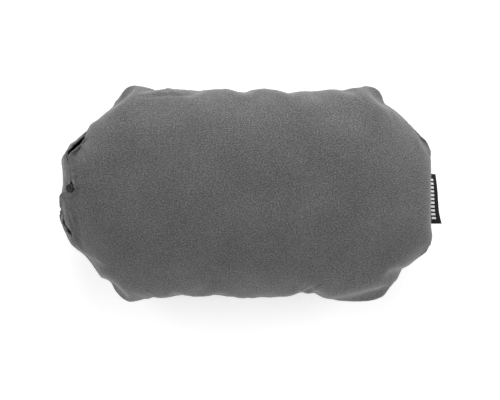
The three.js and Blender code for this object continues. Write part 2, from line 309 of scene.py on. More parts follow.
def cloth_inset(p):
    """How far inside the outline the cloth is first laid; least in front of the valve."""
    nose = np.clip((-210 - p[..., 0]) / 45, 0, 1)
    front = np.clip((12 - p[..., 1]) / 16, 0, 1)
    inset = 4.5 - 2.5 * nose * front * front * (3 - 2 * front)
    for x, y, reach, deeper in DENTS:
        inset += deeper * hill(p[..., 0], p[..., 1], x, y, reach)
    return np.maximum(inset, -6)


class Panel:
    """One panel of cloth: a grid of points p, side +1 for the upper panel and -1 for the lower."""

    def __init__(self, side, plan, lip):
        self.side = side
        self.extra = 0 if side > 0 else WRAP
        beyond = np.arange(self.extra, 0, -1)[:, None, None] * [-COLUMN_PITCH, 0]
        self.plan = np.concatenate([plan[:1] + beyond, plan])
        self.lip = lip_points(self.extra)
        self.lip_target = resample(spline(lip), len(self.lip[0]))
        self.p = self.first_shape(plan)
        self.start = self.p.copy()
        self.last = self.p.copy()

    def first_shape(self, plan):
        p = np.concatenate([plan, np.full(plan.shape[:2] + (1,), SEAM_Z)], -1)
        inside = np.clip(-form(p + [0, 0, 0.01], 0, 0), 0, 1)
        rise = np.sqrt(1 - (1 - inside) ** 2) * taper(p[..., 0], 0)
        height = THICKNESS - SEAM_Z if self.side > 0 else -BELLY
        p[1:-1, 1:-1, 2] += (height * rise)[1:-1, 1:-1]
        if self.extra:
            steps = np.arange(self.extra, 0, -1)[:, None, None]
            p = np.concatenate([p[:1] + steps * WRAP_STEP, p])
        p[..., 2] = np.maximum(p[..., 2], GROUND)
        p[self.lip] = self.lip_target
        self.lead_seam_to_bartack(p)
        fixed = np.zeros(p.shape[:2], bool)
        fixed[0] = fixed[-1] = fixed[:, 0] = fixed[:, -1] = True
        rounds = 240
        for n in range(rounds):
            even = p.copy()
            even[1:-1, 1:-1] = (p[2:, 1:-1] + p[:-2, 1:-1] + p[1:-1, 2:] + p[1:-1, :-2]) / 4
            p = even
            if n % 3:
                continue
            if self.side > 0 and n < 0.3 * rounds:
                p[1:-1, 1:-1, 2] = np.maximum(p[1:-1, 1:-1, 2], SEAM_Z + 1)
            p = p + np.where(fixed[..., None], 0, onto_form(p, cloth_inset(p), 0, both_ways=True))
            p[..., 2] = np.maximum(p[..., 2], GROUND)
        return p

    def lead_seam_to_bartack(self, p):
        """The front seam climbs from the rim to the bar tack at the mouth's front end."""
        steps = 6
        tack = np.array(UPPER_LIP[-1], float)
        foot = np.array([*front_rim[MOUTH_FRONT], SEAM_Z])
        for k in range(steps + 1):
            on_rim = np.array([*front_rim[MOUTH_FRONT + k], SEAM_Z])
            p[MOUTH_FRONT + self.extra + k, 0] = on_rim + (1 - k / steps) ** 2 * (tack - foot)

    def cut_cloth(self, seed):
        """Sets every thread's length: a little over its place's, near the rim, corners and lips."""
        x, y = self.plan[..., 0], self.plan[..., 1]
        rim = np.vstack([back_rim, front_rim, right_rim])
        gap = np.min([np.hypot(x - a, y - b) for a, b in rim], axis=0)
        near_rim = np.exp(-((gap / 32) ** 2))
        to_lip = np.min([np.linalg.norm(self.p - q, axis=-1) for q in self.lip_target[::3]], axis=0)
        uneven = 1 + 0.45 * noise_2d(x, y, 26, seed)
        self.fullness = 1 - MIDDLE_STRETCH * (1 - near_rim) + RIM_SLACK * near_rim * uneven
        for a, b in GATHERED_CORNERS:
            self.fullness += CORNER_SLACK * hill(x, y, a, b, 30)
        self.fullness += LIP_SLACK * np.exp(-((to_lip / 30) ** 2))
        for a, b, reach, less in TIGHT[self.side]:
            self.fullness -= less * hill(x, y, a, b, reach)
        lengths = thread_lengths(self.p)
        self.rest = [length * between(self.fullness, kind) for kind, length in lengths]
        ruffle = 0.6 * near_rim * noise_2d(x, y, 14, seed + 10)
        self.p += grid_normals(self.p, self.side) * ruffle[..., None]
        self.last = self.p.copy()


# Threads along, across and on both diagonals, then the longer ones that resist bending.
THREADS = {
    "along": (1, 0, 0.9, 0.8),
    "across": (0, 1, 0.9, 0.8),
    "rising": (1, 1, 0.35, 0.6),
    "falling": (1, -1, 0.35, 0.6),
    "bend_along": (2, 0, 0.12, 1),
    "bend_across": (0, 2, 0.12, 1),
}


def ends_of(p, kind):
    """The two ends of every thread of a kind, as views of the grid."""
    di, dj = THREADS[kind][:2]
    n, m = p.shape[:2]
    if dj < 0:
        return p[: n - di, -dj:], p[di:, : m + dj]
    return p[: n - di, : m - dj], p[di:, dj:]


def thread_lengths(p):
    for kind in THREADS:
        a, b = ends_of(p, kind)
        yield kind, np.linalg.norm(b - a, axis=-1)


def between(w, kind):
    a, b = ends_of(w, kind)
    return (a + b) / 2


def pull_threads(panel):
    """Brings every thread closer to its length, in groups that share no point."""
    for (kind, (di, dj, pull, push)), rest in zip(THREADS.items(), panel.rest):
        a_all, b_all = ends_of(panel.p, kind)
        axis, step = (0, di) if di else (1, dj)
        for first in range(2):
            starts = np.arange(a_all.shape[axis])
            pick = starts[(starts // step) % 2 == first]
            at = (pick,) if axis == 0 else (slice(None), pick)
            a, b = a_all[at], b_all[at]
            d = b - a
            size = np.sqrt(np.einsum("...k,...k->...", d, d))
            off = np.maximum((size - rest[at]) / np.maximum(size, 1e-6), -0.5)
            d *= (np.where(off > 0, pull, push) * off * 0.5)[..., None]
            a_all[at] = a + d
            b_all[at] = b - d


def sew(top, bottom):
    """The panels share every rim point except those of the mouth."""
    e = bottom.extra
    pairs = [
        ((slice(MOUTH_BACK, None), -1), (slice(MOUTH_BACK + e, None), -1)),
        ((slice(MOUTH_FRONT, None), 0), (slice(MOUTH_FRONT + e, None), 0)),
        ((-1, slice(None)), (-1, slice(None))),
    ]
    for a, b in pairs:
        middle = (top.p[a] + bottom.p[b]) / 2
        top.p[a] = middle
        bottom.p[b] = middle


CLEAR_EDGE, CLEAR_FACE = 2.6, 3.0  # between the bladder and the outside of the cover
RIM_HOLD, LIP_HOLD = [0.05, 0.05, 0.02], 0.35  # share of the way back to their places, each pass


def drape(top, bottom, steps=140, passes=5):
    """Settles the cloth over the blown-up bladder and the ground."""
    air, weight, drag = 0.02, 0.02, 0.86
    for _ in range(steps):
        for panel in (top, bottom):
            moved = (panel.p - panel.last) * drag
            panel.last = panel.p.copy()
            panel.p += moved + grid_normals(panel.p, panel.side) * air - [0, 0, weight]
        for k in range(passes):
            for panel in (top, bottom):
                pull_threads(panel)
            sew(top, bottom)
            for panel in (top, bottom):
                for rim in ((slice(None), -1), (slice(None), 0), (-1, slice(None))):
                    panel.p[rim] += (panel.start[rim] - panel.p[rim]) * RIM_HOLD
                panel.p[panel.lip] += (panel.lip_target - panel.p[panel.lip]) * LIP_HOLD
                if k % 2 == 0:
                    inset = bladder_inset(panel.p[..., 0]) - CLEAR_EDGE
                    panel.p += onto_form(panel.p, inset, BLADDER_FACE - CLEAR_FACE)
                    panel.p[..., 2] = np.maximum(panel.p[..., 2], GROUND)


plan = plan_grid()
top_panel = Panel(1, plan, UPPER_LIP)
bottom_panel = Panel(-1, plan, LOWER_LIP)
top_panel.cut_cloth(seed=3)
bottom_panel.cut_cloth(seed=5)
drape(top_panel, bottom_panel, steps=140)


# ---- The settled cloth, refined ----


FINER = 3  # times as many points each way
STITCH_FROM_LIP = 7.0


def refine(p, axis):
    """Finer points along one axis, on a cubic B-spline that keeps the end points."""
    p = np.moveaxis(p, axis, 0)
    q = np.concatenate([2 * p[:1] - p[1:2], p, 2 * p[-1:] - p[-2:-1], p[-1:]])
    n = len(p)
    out = np.empty(((n - 1) * FINER + 1,) + p.shape[1:])
    for k in range(FINER):
        t = k / FINER
        weights = ((1 - t) ** 3, 3 * t**3 - 6 * t**2 + 4, -3 * t**3 + 3 * t**2 + 3 * t + 1, t**3)
        part = sum(w * q[a : a + n] for a, w in enumerate(weights)) / 6
        out[k::FINER] = part[: len(out[k::FINER])]
    return np.moveaxis(out, 0, axis)


def tree_of(points):
    tree = kdtree.KDTree(len(points))
    for n, q in enumerate(points):
        tree.insert(q, n)
    tree.balance()
    return tree


def nearest(tree, points):
    """The index of the closest point of the tree to each point, and how far it is."""
    found = [tree.find(q)[1:] for q in points]
    return np.array([f[0] for f in found]), np.array([f[1] for f in found])


class Cloth:
    """A refined panel, with the place of each point along the rim and the lip."""

    def __init__(self, panel):
        self.side = panel.side
        self.p, self.plan = [refine(refine(g, 0), 1) for g in (panel.p, panel.plan)]
        self.pattern = np.stack([self.unrolled(axis) for axis in (0, 1)], -1)
        n, m = self.p.shape[:2]
        back = (MOUTH_BACK + panel.extra) * FINER
        front = (MOUTH_FRONT + panel.extra) * FINER
        lip = [(i, m - 1) for i in range(back, 0, -1)] + [(0, j) for j in range(m - 1, 0, -1)]
        lip += [(i, 0) for i in range(front + 1)]
        rim = [(i, 0) for i in range(front, n - 1)] + [(n - 1, j) for j in range(m - 1)]
        rim += [(i, m - 1) for i in range(n - 1, back - 1, -1)]
        self.lip, self.rim = [tuple(np.array(line).T) for line in (lip, rim)]
        flat = self.p.reshape(-1, 3)
        self.rim_near, self.rim_gap = self.measure(self.rim, flat)
        self.lip_near, self.lip_gap = self.measure(self.lip, flat)
        self.rim_s = lengths_along(self.p[self.rim])[self.rim_near]
        self.lip_s = lengths_along(self.p[self.lip])[self.lip_near]

    def unrolled(self, axis):
        """Distance over the cloth from its middle row or column: the place on the flat piece."""
        p = np.moveaxis(self.p, axis, 0)
        steps = np.linalg.norm(np.diff(p, axis=0), axis=-1)
        s = np.concatenate([np.zeros((1, p.shape[1])), np.cumsum(steps, 0)])
        return np.moveaxis(s - s[len(s) // 2], 0, axis)

    def measure(self, line, flat):
        index, gap = nearest(tree_of(self.p[line]), flat)
        return index.reshape(self.p.shape[:2]), gap.reshape(self.p.shape[:2])

    def normals(self):
        n = grid_normals(self.p, self.side)
        k = 2 * FINER  # the rim runs straight through the grid's corners, which gives them no plane
        near, far = (slice(None, k), k), (slice(-k, None), -k - 1)
        for rows, row in (near, far):
            for columns, column in (near, far):
                n[rows, columns] = n[row, column]
        return n

    def add_detail(self, seed, creases):
        """Adds what the solver is too coarse for: puckers, gathers, creases, the hem's groove."""
        x, y = self.plan[..., 0], self.plan[..., 1]
        lift = 0.16 * noise_2d(x, y, 30, seed) + 0.05 * noise_2d(x, y, 9, seed + 1)
        pucker = noise_1d(self.rim_s, 7.5, seed + 2) + 0.6 * noise_1d(self.rim_s, 16, seed + 3)
        pucker *= 1 + 0.5 * noise_1d(self.rim_s, 60, seed + 4)
        lift += 0.55 * pucker * np.exp(-self.rim_gap / 8)
        gather = noise_1d(self.lip_s, 5.5, seed + 5) + 0.5 * noise_1d(self.lip_s, 13, seed + 6)
        lift += 0.5 * gather * np.exp(-self.lip_gap / 16)
        lift -= 0.45 * np.exp(-(((self.lip_gap - STITCH_FROM_LIP) / 1.1) ** 2))
        for crease in creases:
            lift += crease_lift(self.p, *crease)
        lift *= 1 - np.exp(-((self.rim_gap / 2) ** 2))
        self.p = self.p + self.normals() * lift[..., None]

    def settle(self, seam_out):
        """Draws the rim into the seam's groove and keeps the cloth above the ground."""
        self.p -= seam_out[self.rim_near] * (1.5 * np.exp(-self.rim_gap / 2.2))[..., None]
        self.p[..., 2] = np.maximum(self.p[..., 2], DETAIL_GROUND)
        self.n = self.normals()
        self.tree = tree_of(self.p.reshape(-1, 3))

    def on_surface(self, points):
        """Each point dropped on the cloth, with the outward normal there."""
        index, _ = nearest(self.tree, points)
        base = self.p.reshape(-1, 3)[index]
        normal = self.n.reshape(-1, 3)[index]
        height = ((points - base) * normal).sum(-1, keepdims=True)
        return points - height * normal, normal

    def smooth_surface(self, line):
        """on_surface() for a line of points, evened out along it."""
        base, normal = self.on_surface(line)
        return smooth_line(base, 3), unit(smooth_line(normal, 3))

    def tucked_under(self, points, depth):
        """The points, with those less than depth under the cloth moved in to that depth."""
        surface, normal = self.on_surface(points)
        height = ((points - surface) * normal).sum(-1, keepdims=True)
        return points - np.maximum(height + depth, 0) * normal


def crease_lift(p, line, width, depth):
    """A sharp valley along a line in plan with a soft ridge on its left, fading at both ends."""
    line = np.array(line, float)
    x, y = p[..., 0], p[..., 1]
    best = np.full(x.shape, 1e9)
    side = np.zeros(x.shape)
    share = np.zeros(x.shape)
    s = lengths_along(line)
    for k in range(len(line) - 1):
        a, d = line[k], line[k + 1] - line[k]
        size = np.hypot(*d)
        t = np.clip(((x - a[0]) * d[0] + (y - a[1]) * d[1]) / size**2, 0, 1)
        dx, dy = x - a[0] - t * d[0], y - a[1] - t * d[1]
        gap = np.hypot(dx, dy)
        closer = gap < best
        best = np.where(closer, gap, best)
        side = np.where(closer, np.sign(d[0] * dy - d[1] * dx) * gap, side)
        share = np.where(closer, (s[k] + t * size) / s[-1], share)
    fade = np.sin(np.pi * np.clip(share, 0, 1)) ** 0.6
    fade *= np.exp(-((best / (4 * width)) ** 2)) * (p[..., 2] > SEAM_Z)
    valley = -np.exp(-((side / width) ** 2))
    ridge = 0.75 * np.exp(-(((side - 2.1 * width) / (1.5 * width)) ** 2))
    return depth * fade * (valley + ridge)


# Each crease: its course in plan, its width and its depth.
TOP_CREASES = [
    ([(-163, 144), (-140, 145), (-112, 147), (-72, 146)], 2.6, 1.3),
    ([(-141, 156), (-133, 150), (-127, 143)], 1.6, 0.8),
    ([(-121, 157), (-112, 151), (-108, 145)], 1.6, 0.8),
    ([(-97, 156), (-90, 150), (-86, 145)], 1.5, 0.6),
    ([(112, -133), (103, -141), (91, -147), (76, -150)], 2.0, 2.2),
    ([(96, -131), (89, -139), (80, -145)], 1.8, 0.9),
    ([(-158, -140), (-150, -149), (-138, -155)], 1.8, 1.0),
    ([(-232, -99), (-222, -101), (-210, -112)], 2.2, 0.9),
    ([(281, 50), (272, 66), (262, 81), (250, 96)], 3.0, 1.1),
    ([(214, 124), (222, 112), (226, 98)], 2.6, 0.9),
    ([(233, -108), (229, -98), (220, -90)], 2.6, 0.9),
    ([(-266, -22), (-260, -38), (-254, -56)], 1.8, 1.1),
    ([(-257, -18), (-250, -34), (-247, -52)], 2.2, 0.7),
    ([(-232, 40), (-238, 52), (-244, 66)], 2.6, 0.6),
    ([(-254, -60), (-250, -67), (-252, -77)], 1.5, 1.7),
    ([(-252, -63), (-246, -68), (-243, -75)], 1.4, 1.1),
]
BOTTOM_CREASES = [
    ([(-272, 56), (-267.5, 42), (-264, 30), (-262, 21)], 1.3, 1.5),
    ([(-272, 30), (-269.5, 23), (-267, 18)], 1.3, 0.9),
    ([(-251, -62), (-254, -69), (-255, -78)], 1.5, 2.0),
    ([(-251, -62), (-258, -66), (-264, -72)], 1.6, 1.3),
]

top = Cloth(top_panel)
bottom = Cloth(bottom_panel)
top.add_detail(11, TOP_CREASES)
bottom.add_detail(31, BOTTOM_CREASES)
seam_out = unit(np.cross(np.gradient(top.p[top.rim], axis=0), [0, 0, 1]))
top.settle(seam_out)
bottom.settle(seam_out)


# ---- Node materials ----


class Shader:
    """A material under construction: one Principled shader fed by procedural nodes."""

    def __init__(self, name, **sockets):
        self.material = bpy.data.materials.new(name)
        self.material.use_nodes = True
        self.tree = self.material.node_tree
        self.surface = self.tree.nodes["Principled BSDF"]
        for socket, value in sockets.items():
            self.surface.inputs[socket.replace("_", " ")].default_value = value

    def node(self, kind, inputs=(), **settings):
        node = self.tree.nodes.new("ShaderNode" + kind)
        for key, value in settings.items():
            setattr(node, key, value)
        for key, value in dict(inputs).items():
            if isinstance(value, bpy.types.NodeSocket):
                self.tree.links.new(value, node.inputs[key])
            else:
                node.inputs[key].default_value = value
        return node

    def feed(self, socket, value):
        self.tree.links.new(value, self.surface.inputs[socket])

    def pattern(self, stretch=(1, 1, 1)):
        """Where a point lies on the flat piece of cloth, in metres."""
        uv = self.node("UVMap", uv_map="pattern").outputs[0]
        return self.node("Mapping", {0: uv, "Scale": stretch}).outputs[0]

    def place(self, stretch=(1, 1, 1)):
        """Where a point lies in the pillow's frame, in metres."""
        at = self.node("TexCoord").outputs["Object"]
        return self.node("Mapping", {0: at, "Scale": stretch}).outputs[0]

    def noise(self, at, size, detail=2.0, roughness=0.5):
        """Noise of about 0 to 1 whose blobs are size metres wide."""
        inputs = {"Vector": at, "Scale": 1 / size, "Detail": detail, "Roughness": roughness}
        return self.node("TexNoise", inputs).outputs[0]

    def lines(self, at, spacing, direction="X", bend=0.0):
        """Waves from 0 to 1, spacing metres apart."""
        inputs = {"Vector": at, "Scale": 0.1 * math.pi / spacing, "Distortion": bend, "Detail": 1.0}
        return self.node("TexWave", inputs, bands_direction=direction).outputs["Fac"]

    def math(self, operation, a, b=0.5, c=0.5):
        return self.node("Math", {0: a, 1: b, 2: c}, operation=operation).outputs[0]

    def mix(self, parts):
        """The weighted sum of (weight, value) pairs."""
        total = 0.0
        for weight, value in parts:
            total = self.math("MULTIPLY_ADD", value, weight, total)
        return total

    def colour(self, value, *stops):
        """Colours the surface by a value, between (position, grey or rgb) stops."""
        node = self.node("ValToRGB", {0: value})
        elements = node.color_ramp.elements
        while len(elements) < len(stops):
            elements.new(0.5)
        for element, (position, colour) in zip(elements, stops):
            element.position = position
            rgb = colour if isinstance(colour, tuple) else (colour,) * 3
            element.color = (*rgb, 1)
        self.feed("Base Color", node.outputs[0])

    def rough(self, value, low, high):
        """Roughness from low to high for a value of 0 to 1."""
        self.feed("Roughness", self.node("MapRange", {0: value, 3: low, 4: high}).outputs[0])

    def bump(self, height, depth, strength=1.0):
        inputs = {"Height": height, "Distance": depth, "Strength": strength}
        self.feed("Normal", self.node("Bump", inputs).outputs[0])


def knit_material():
    """Brushed jersey in a heather of dark and light grey fibres."""
    s = Shader("heather_knit", Sheen_Weight=0.45, Sheen_Roughness=0.45, Specular_IOR_Level=0.15)
    s.surface.inputs["Sheen Tint"].default_value = (0.75, 0.75, 0.76, 1)
    fibres = s.noise(s.pattern((1, 0.5, 1)), 0.0009, 3, 0.6)
    flecks = s.noise(s.pattern((0.7, 1, 1)), 0.0017, 2, 0.6)
    clouds = s.noise(s.pattern(), 0.009, 3, 0.6)
    wear = s.noise(s.pattern(), 0.07, 2, 0.5)
    tone = s.mix([(0.36, fibres), (0.48, flecks), (0.08, clouds), (0.08, wear)])
    dark, light = (0.035, 0.035, 0.036), (0.22, 0.219, 0.217)
    s.colour(tone, (0.36, dark), (0.5, 0.104), (0.64, light))
    s.rough(flecks, 0.86, 1.0)
    wales = s.lines(s.pattern(), 0.0011, "Y", 1.5)
    fuzz = s.noise(s.pattern((1, 0.6, 1)), 0.0006, 3, 0.7)
    s.bump(s.mix([(0.25, wales), (0.6, fuzz), (0.35, flecks)]), 0.0005, 0.7)
    return s.material


def thread_material(name, tone):
    """Twisted polyester thread."""
    s = Shader(name, Sheen_Weight=0.2, Specular_IOR_Level=0.35)
    twist = s.lines(s.place(), 0.0005, "DIAGONAL", 0.6)
    grain = s.noise(s.place(), 0.0012, 2)
    s.colour(grain, (0.3, tone * 0.7), (0.7, tone * 1.35))
    s.rough(twist, 0.6, 0.85)
    s.bump(twist, 0.0001)
    return s.material


def elastic_material():
    """Flat braided elastic with ribs along its length."""
    s = Shader("braided_elastic", Specular_IOR_Level=0.3)
    ribs = s.lines(s.pattern(), 0.0008, "Y", 0.3)
    braid = s.lines(s.pattern(), 0.0006, "DIAGONAL", 1.0)
    s.colour(s.mix([(0.5, ribs), (0.5, braid)]), (0.2, 0.012), (0.9, 0.045))
    s.rough(braid, 0.75, 0.95)
    s.bump(s.mix([(0.6, ribs), (0.4, braid)]), 0.0002)
    return s.material


def film_material():
    """Fine woven polyester coated on one side, slightly wrinkled at its welds."""
    s = Shader("coated_film", Specular_IOR_Level=0.4, Coat_Weight=0.15, Coat_Roughness=0.45)
    warp, weft = [s.lines(s.place(), 0.0004, direction, 0.2) for direction in "XY"]
    weave = s.math("MULTIPLY", warp, weft)
    smudge = s.noise(s.place(), 0.02, 3, 0.6)
    s.colour(smudge, (0.3, 0.05), (0.7, 0.085))
    s.rough(smudge, 0.42, 0.62)
    s.bump(s.mix([(0.3, weave), (0.7, s.noise(s.place(), 0.003, 2))]), 0.00015)
    return s.material


def plastic_material(name, tone, rough, grain=0.00025):
    """Moulded plastic with a fine spark-eroded grain and handling marks."""
    s = Shader(name, Specular_IOR_Level=0.4)
    speckle = s.noise(s.place(), grain, 2)
    marks = s.noise(s.place((1, 3, 1)), 0.004, 4, 0.65)
    s.colour(marks, (0.3, tone * 0.8), (0.75, tone * 1.3))
    s.rough(marks, rough - 0.07, rough + 0.09)
    s.bump(speckle, 0.00003, 0.6)
    return s.material


def rubber_material():
    s = Shader("seal_rubber", Specular_IOR_Level=0.3)
    bloom = s.noise(s.place(), 0.0015, 3)
    s.colour(bloom, (0.35, 0.012), (0.7, 0.03))
    s.rough(bloom, 0.55, 0.75)
    s.bump(bloom, 0.00004)
    return s.material


def satin_material():
    """Printed satin care tape; its rows of marks stand for print and spell nothing."""
    s = Shader("care_satin", Specular_IOR_Level=0.45, Anisotropic=0.4)
    weave = s.lines(s.pattern(), 0.00035, "X", 0.3)
    split = s.node("SeparateXYZ", {0: s.pattern()})
    rows = s.math("GREATER_THAN", s.lines(s.pattern(), 0.0042, "Y"), 0.8)
    words = s.math("GREATER_THAN", s.noise(s.pattern((1, 0.24, 1)), 0.0016, 1), 0.47)
    inside = s.math("COMPARE", split.outputs[0], 0.014, 0.011)
    print_ = s.math("MULTIPLY", s.math("MULTIPLY", rows, words), inside)
    s.colour(print_, (0.0, (0.8, 0.8, 0.78)), (1.0, 0.12))
    s.rough(weave, 0.35, 0.5)
    s.bump(weave, 0.00008)
    return s.material


LABEL_LENGTH, LABEL_PROJECTION = 76.0, 23.2
LABEL_BAR_PITCH = 0.0058
LABEL_BAND = (0.0125, 0.0033)  # middle and half width of the bars' band, from the seam


def label_material():
    """Damask-woven label: black ground, with a plain band of light bars for its pattern."""
    s = Shader("woven_label", Specular_IOR_Level=0.2)
    at = s.pattern()
    split = s.node("SeparateXYZ", {0: at})
    along, up = split.outputs[0], split.outputs[1]
    twill = s.lines(s.pattern(), 0.0005, "DIAGONAL", 0.2)
    bars = s.math("GREATER_THAN", s.lines(at, LABEL_BAR_PITCH, "X"), 0.42)
    tall = s.math("COMPARE", up, LABEL_BAND[0], LABEL_BAND[1])
    ends = s.math("COMPARE", along, LABEL_LENGTH * 0.0005, LABEL_LENGTH * 0.0005 - 0.0055)
    marks = s.math("MULTIPLY", s.math("MULTIPLY", bars, tall), ends)
    shade = s.mix([(0.75, marks), (0.12, twill), (0.13, s.noise(at, 0.0009, 2))])
    s.colour(shade, (0.0, 0.004), (0.25, 0.012), (0.8, 0.55), (1.0, 0.8))
    s.rough(twill, 0.7, 0.9)
    s.bump(s.mix([(0.6, twill), (0.6, marks)]), 0.00012)
    return s.material


KNIT_LOOK = knit_material()
SEAM_THREAD = thread_material("grey_thread", 0.10)
TACK_THREAD = thread_material("tack_thread", 0.075)
ELASTIC = elastic_material()
FILM = film_material()
KNOB_PLASTIC = plastic_material("satin_black_plastic", 0.006, 0.42)
VALVE_PLASTIC = plastic_material("moulded_valve", 0.02, 0.45)
PIN_PLASTIC = plastic_material("moulded_pin", 0.012, 0.42)
RUBBER = rubber_material()
SATIN = satin_material()
LABEL_LOOK = label_material()


# ---- Pieces ----


def grid_pattern(along, across):
    """Each point's place on a flat strip, for points in rows."""
    return np.stack(np.broadcast_arrays(along[:, None], across[None]), -1).reshape(-1, 2)


def grid_faces(n, m):
    """The faces between n rows of m points, and the points' numbers."""
    number = np.arange(n * m).reshape(n, m)
    corners = [number[:-1, :-1], number[1:, :-1], number[1:, 1:], number[:-1, 1:]]
    return np.stack(corners, -1).reshape(-1, 4), number


def add_piece(
    name, points, faces, look, slot, body="pillow", pattern=None, stands_for=(), outward=True
):
    """A smooth mesh piece that moves with a body; pattern has each point's place on the flat."""
    mesh = bpy.data.meshes.new(name)
    mesh.from_pydata(to_row(points).tolist(), [], faces)
    mesh.validate()
    if pattern is not None:
        layer = mesh.uv_layers.new(name="pattern")
        corner = np.empty(len(mesh.loops), int)
        mesh.loops.foreach_get("vertex_index", corner)
        layer.data.foreach_set("uv", (np.asarray(pattern)[corner] * 0.001).ravel())
    if outward:
        shape = bmesh.new()
        shape.from_mesh(mesh)
        bmesh.ops.recalc_face_normals(shape, faces=shape.faces)
        shape.to_mesh(mesh)
        shape.free()
    mesh.shade_smooth()
    mesh.materials.append(look)
    piece = bpy.data.objects.new(name, mesh)
    bpy.context.scene.collection.objects.link(piece)
    if body:
        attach(piece, body)
    if stands_for:
        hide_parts(*stands_for)
    return piece


def thicken(piece, thickness, group=""):
    """Gives a sheet its thickness, inwards from its outer face."""
    shell = piece.modifiers.new("thickness", "SOLIDIFY")
    shell.thickness = thickness * 0.001
    shell.offset = -1
    shell.vertex_group = group


def loft(rings, wrap=False):
    """Points and faces of a skin over rings of points; wrap joins the last ring to the first."""
    rings = np.asarray(rings, float)
    n, m = rings.shape[:2]
    faces = []
    for i in range(n if wrap else n - 1):
        k = (i + 1) % n
        for j in range(m):
            faces.append((i * m + j, k * m + j, k * m + (j + 1) % m, i * m + (j + 1) % m))
    if not wrap:
        faces.append(tuple(range(m)))
        faces.append(tuple(range(n * m - 1, (n - 1) * m - 1, -1)))
    return rings.reshape(-1, 3), faces


def merge(parts):
    """Several (points, faces) as one."""
    points, faces, first = [], [], 0
    for p, f in parts:
        points.append(p)
        faces += [tuple(v + first for v in face) for face in f]
        first += len(p)
    return np.vstack(points), faces


class Lip:
    """The folded edge of a panel at the mouth: a frame at every point of it."""

    ROLL = 1.5  # radius of the fold

    def __init__(self, cloth):
        self.cloth = cloth
        self.at = cloth.p[cloth.lip]
        rows, columns = cloth.lip
        inside = 2 * FINER
        beside = np.maximum(rows, inside), np.clip(columns, inside, cloth.p.shape[1] - 1 - inside)
        along = unit(smooth_line(np.gradient(self.at, axis=0), 12))
        out = np.cross(along, cloth.n[cloth.lip]) * cloth.side
        inward = ((cloth.p[beside] - self.at) * out).sum(-1, keepdims=True) > 0
        self.normal = unit(smooth_line(np.where(inward, -1, 1) * cloth.n[cloth.lip], 12))
        self.out = unit(np.cross(along, self.normal) * cloth.side)
        self.s = lengths_along(self.at)

    def band(self, section):
        """Rings of a closed band; its section is (distance in from the lip, depth in the cloth)."""
        rings = np.empty((len(self.at), len(section), 3))
        for k, (inward, depth) in enumerate(section):
            base, normal = self.at, self.normal
            if inward > 0.5:
                base, normal = self.cloth.smooth_surface(self.at - self.out * inward)
            rings[:, k] = base - normal * depth
        return rings

    def fold_rows(self):
        """The rows by which the panel turns over its lip."""
        rows = []
        for angle in np.radians([60, 30, 0, -35, -70, -90]):
            rise = self.ROLL * (math.sin(angle) - 1)
            rows.append(self.at + self.out * self.ROLL * math.cos(angle) + self.normal * rise)
        return np.array(rows)


def panel_piece(name, cloth, lip, stands_for):
    """The panel with its lip turned over: a shell that thins into the seam."""
    faces, number = grid_faces(*cloth.p.shape[:2])
    rows = lip.fold_rows()
    edge = number[cloth.lip]
    for k in range(len(rows)):
        far = number.size + k * len(edge) + np.arange(len(edge))
        strip = np.stack([edge[:-1], far[:-1], far[1:], edge[1:]], -1)
        faces = np.concatenate([faces, strip])
        edge = far
    if cloth.side < 0:
        faces = faces[:, ::-1]
    points = np.concatenate([cloth.p.reshape(-1, 3), rows.reshape(-1, 3)])
    at_lip = cloth.pattern[cloth.lip]
    on_fold = [at_lip + lip.out[:, :2] * (0.9 * (k + 1)) for k in range(len(rows))]
    pattern = np.concatenate([cloth.pattern.reshape(-1, 2), *on_fold])
    piece = add_piece(
        name, points, faces.tolist(), KNIT_LOOK, "knit",
        pattern=pattern, stands_for=stands_for, outward=False,
    )
    thinnest = 0.12
    on_panel = np.clip(cloth.rim_gap.ravel() / 5, thinnest, 1)
    share = np.r_[on_panel, np.full(rows.shape[0] * rows.shape[1], 0.8)]
    group = piece.vertex_groups.new(name="thickness")
    levels = np.round(share * 8) / 8
    for level in np.unique(levels):
        group.add(np.flatnonzero(levels == level).tolist(), float(max(level, thinnest)), "REPLACE")
    thicken(piece, KNIT, group.name)
    return piece


def stitches(ends, normals, radius, lift=0.25):
    """Capsules of thread between pairs of points, bowed out along the normals."""
    parts = []
    ring = np.linspace(0, 2 * np.pi, 7)[:-1]
    for (a, b), normal in zip(ends, normals):
        along = unit(b - a)
        side = unit(np.cross(along, normal))
        up = np.cross(side, along)
        rings = []
        for t, width in ((0.0, 0.45), (0.15, 1.0), (0.5, 1.1), (0.85, 1.0), (1.0, 0.45)):
            centre = a + (b - a) * t + up * lift * (4 * t * (1 - t) - 0.3)
            offset = np.cos(ring)[:, None] * side + np.sin(ring)[:, None] * up
            rings.append(centre + offset * radius * width)
        parts.append(loft(rings))
    return merge(parts)


def topstitch(name, lip, pitch=3.0, length=2.3):
    """The row of stitches that holds a hem."""
    line, normal = lip.cloth.on_surface(lip.at - lip.out * STITCH_FROM_LIP)
    line = smooth_line(line, 4)
    s = lengths_along(line)
    starts = np.arange(4, s[-1] - 6, pitch)

    def at(where):
        return np.stack([np.interp(where, s, line[:, k]) for k in range(3)], 1)

    middle = np.stack([np.interp(starts, s, normal[:, k]) for k in range(3)], 1)
    ends = list(zip(at(starts), at(starts + length)))
    return add_piece(name, *stitches(ends, unit(middle), 0.28), SEAM_THREAD, "thread")


